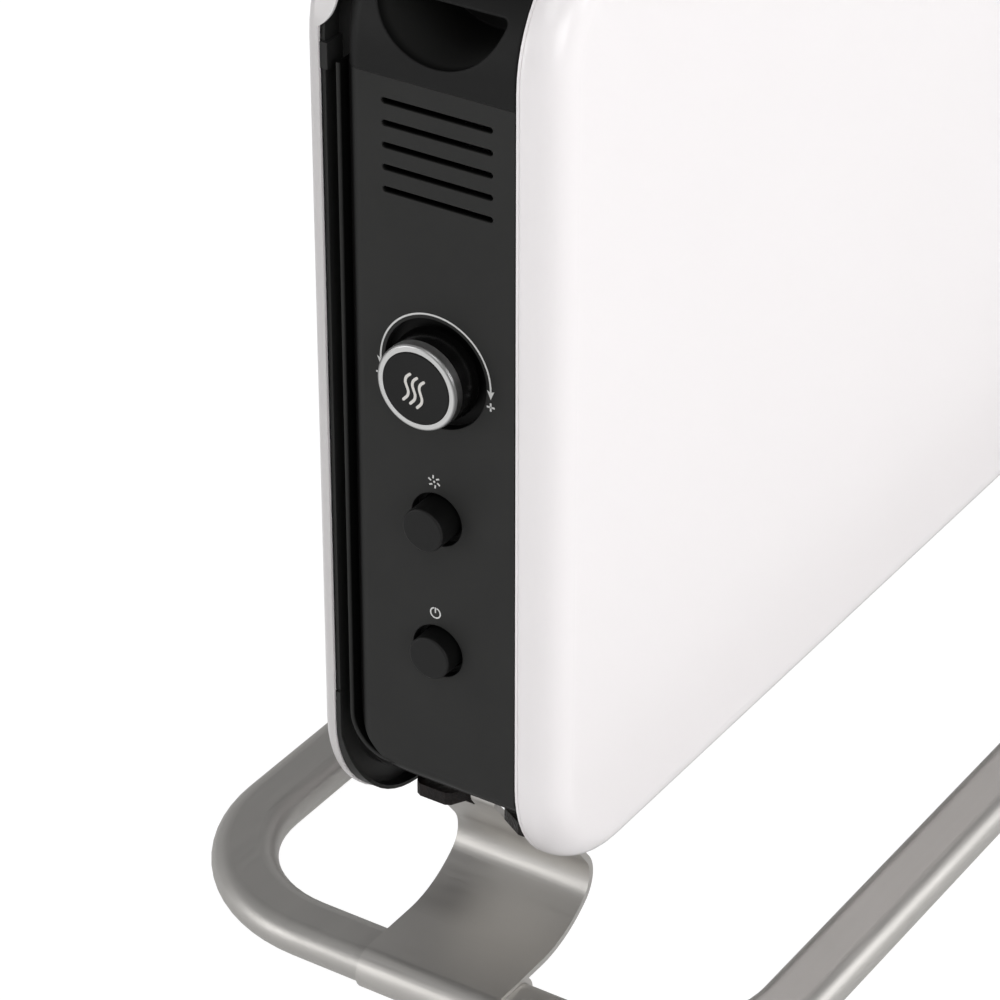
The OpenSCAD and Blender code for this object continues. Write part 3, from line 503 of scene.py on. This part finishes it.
def button_icons():
    """A small fan and the usual on and off mark, over the two buttons."""
    blades = []
    for i in range(BLADES):
        turn = i * 360 / BLADES
        ends = [polar(ICON_Y, FAN_ICON_Z, r, turn + angle) for r, angle in (BLADE_IN, BLADE_OUT)]
        blades.append(ends)
    strip("fan_icon", blades, BLADE_W)
    hub = [polar(ICON_Y, FAN_ICON_Z, HUB_R, i * 360 / HUB_SIDES) for i in range(HUB_SIDES)]
    patch("fan_icon_hub", [hub])
    strip("power_icon", [
        arc(ICON_Y, POWER_ICON_Z, POWER_R, POWER_FROM, POWER_TO, POWER_STEPS),
        [(ICON_Y, POWER_ICON_Z), (ICON_Y, POWER_ICON_Z + POWER_BAR)],
    ], POWER_W)


HEAT_W = 1.1 * MM
HEAT_WAVES, HEAT_STEPS = 3, 20
# From the knob's axis: a wave's two ends, then its two bends by middle, radius, and angles from and to
HEAT_TOP, HEAT_LOW = (2.4 * MM, 5.05 * MM), (5.2 * MM, -5.75 * MM)
HEAT_UPPER = (1.2 * MM, 1.85 * MM, 3.2 * MM, 50, -20.6)
HEAT_LOWER = (6.35 * MM, -2.4 * MM, 3.12 * MM, 159.4, 222.5)
# From one wave to the next
HEAT_SHIFT = (-2.87 * MM, -0.84 * MM)


def heat_symbol():
    """Rising waves on the knob's disc, which turn with the knob."""
    wave = [HEAT_TOP, *arc(*HEAT_UPPER, HEAT_STEPS), *arc(*HEAT_LOWER, HEAT_STEPS), HEAT_LOW]
    waves = []
    for i in range(HEAT_WAVES):
        waves.append([(y + i * HEAT_SHIFT[0], KNOB_Z + z + i * HEAT_SHIFT[1]) for y, z in wave])
    strip("heat_waves", waves, HEAT_W, knob_disc, "knob", rounded=True)


# Stage

FLOOR_HALF = 14
FLOOR_GLOW = 1.18
# Share of the glow that the camera sees, and how far from the middle of the floor each is reached
FLOOR_NEAR, FLOOR_FAR = 0.8, 0.97
NEAR_REACH, FAR_REACH = 0.5, 1.6
# Share of the glow that the object mirrors, a painted reflection: most of it comes from a bright strip
# beside the controls
MIRRORED = 0.58
# Where along Y that strip fades in and out, and the shares before and behind it; the low share behind it
# is a painted shadow of the object
FADE_IN, SHARE_BEFORE = (-0.15, 0.05), 0.15
FADE_OUT, SHADOW_SHARE_BEHIND = (0.26, 0.55), 0.12
# Painted shadow: under the object and close to it, the floor mirrors less of its glow
FOOTPRINT = (0.45, 0.15)
PAINTED_SHADE_REACH, PAINTED_SHADE_SHARE = 0.07, 0.35


def floor_share(look):
    """How much of the floor's glow a ray sees, by what kind of ray it is and where it lands."""
    point = look.place()
    where = look.split(point)
    seen = look.range(look.length(point), FLOOR_NEAR, FLOOR_FAR, NEAR_REACH, FAR_REACH)
    front = look.range(where["Y"], SHARE_BEFORE, MIRRORED, *FADE_IN)
    back = look.range(where["Y"], MIRRORED, SHADOW_SHARE_BEHIND, *FADE_OUT)
    beside = look.maths("SUBTRACT", look.maths("ABSOLUTE", where["X"]), FOOTPRINT[0])
    before = look.maths("SUBTRACT", look.maths("ABSOLUTE", where["Y"]), FOOTPRINT[1])
    # Painted shadow of the object in the floor's mirrored glow
    painted_shade = look.range(look.maths("MAXIMUM", beside, before), PAINTED_SHADE_SHARE, 1, 0, PAINTED_SHADE_REACH)
    mirrored = look.maths("MULTIPLY", look.maths("MINIMUM", front, back), painted_shade)
    path = look.add("ShaderNodeLightPath")
    glossy = look.maths("MULTIPLY", path.outputs["Is Glossy Ray"], mirrored)
    return look.maths("MULTIPLY_ADD", path.outputs["Is Camera Ray"], seen, glossy)


def make_floor():
    """A pale floor that keeps the shadow and looks white from the camera."""
    mesh = bpy.data.meshes.new("floor")
    corners = [(x * FLOOR_HALF, y * FLOOR_HALF, 0) for x, y in ((-1, -1), (1, -1), (1, 1), (-1, 1))]
    mesh.from_pydata(corners, [], [(0, 1, 2, 3)])
    floor = bpy.data.objects.new("floor", mesh)
    bpy.context.collection.objects.link(floor)
    look = Look("floor")
    look.set(Base_Color=(0.86, 0.86, 0.86, 1), Roughness=0.9, Specular_IOR_Level=0.1)
    glow = look.add("ShaderNodeEmission", Color=(1, 1, 1, 1), Strength=FLOOR_GLOW)
    blend = look.add("ShaderNodeMixShader", Fac=floor_share(look))
    look.tree.links.new(look.shader.outputs[0], blend.inputs[1])
    look.tree.links.new(glow.outputs[0], blend.inputs[2])
    look.tree.links.new(blend.outputs[0], look.tree.nodes["Material Output"].inputs["Surface"])
    mesh.materials.append(look.material)


# Brightness of the sky by the sine of the height
SKY = ((0.12, 0.0), (0.3, 1.0), (0.6, 0.0), (1.0, 0.41))
SKY_STRENGTH = 1.09


def make_world():
    """White behind the object, and an even studio sky, darker overhead, for its light."""
    world = bpy.data.worlds.new("studio")
    bpy.context.scene.world = world
    world.use_nodes = True
    tree = world.node_tree
    light = tree.nodes["Background"]
    where = tree.nodes.new("ShaderNodeTexCoord")
    split = tree.nodes.new("ShaderNodeSeparateXYZ")
    ramp = tree.nodes.new("ShaderNodeValToRGB")
    for i, (height, level) in enumerate(SKY):
        knot = ramp.color_ramp.elements[i] if i < 2 else ramp.color_ramp.elements.new(height)
        knot.position = height
        knot.color = (level, level, level, 1)
    light.inputs["Strength"].default_value = SKY_STRENGTH
    white = tree.nodes.new("ShaderNodeBackground")
    white.inputs["Strength"].default_value = 1.0
    path = tree.nodes.new("ShaderNodeLightPath")
    blend = tree.nodes.new("ShaderNodeMixShader")
    tree.links.new(where.outputs["Generated"], split.inputs[0])
    tree.links.new(split.outputs["Z"], ramp.inputs[0])
    tree.links.new(ramp.outputs[0], light.inputs["Color"])
    tree.links.new(path.outputs["Is Camera Ray"], blend.inputs[0])
    tree.links.new(light.outputs[0], blend.inputs[1])
    tree.links.new(white.outputs[0], blend.inputs[2])
    tree.links.new(blend.outputs[0], tree.nodes["World Output"].inputs["Surface"])


def softbox(name, place, target, size, power):
    """A rectangular lamp of a power in watts, aimed at target."""
    data = bpy.data.lights.new(name, "AREA")
    data.shape = "RECTANGLE"
    data.size, data.size_y = size
    data.energy = power
    lamp = bpy.data.objects.new(name, data)
    lamp.location = place
    aim = Vector(target) - Vector(place)
    lamp.rotation_euler = aim.to_track_quat("-Z", "Y").to_euler()
    bpy.context.collection.objects.link(lamp)


def light_scene():
    make_floor()
    make_world()
    softbox("front_box", (1.0, -2.4, 1.45), (0.1, 0, 0.2), size=(2.2, 1.6), power=43)
    softbox("front_left_box", (-1.7, -2.3, 1.0), (-0.3, 0, 0.2), size=(1.2, 1.2), power=17.8)
    softbox("left_box", (-1.8, -0.4, 2.0), (-0.3, 0, 0.2), size=(1.2, 1.2), power=10)
    softbox("rear_left_box", (-1.9, 1.3, 0.5), (-0.4, 0, 0.2), size=(1.0, 0.8), power=9.5)
    softbox("rear_box", (-0.6, 1.8, 2.2), (-0.3, 0, 0.2), size=(1.6, 1.2), power=1.7)


make_camera()
paint_nodes()
dial_print()
button_icons()
heat_symbol()
light_scene()
bpy.context.scene.view_settings.view_transform = "Standard"
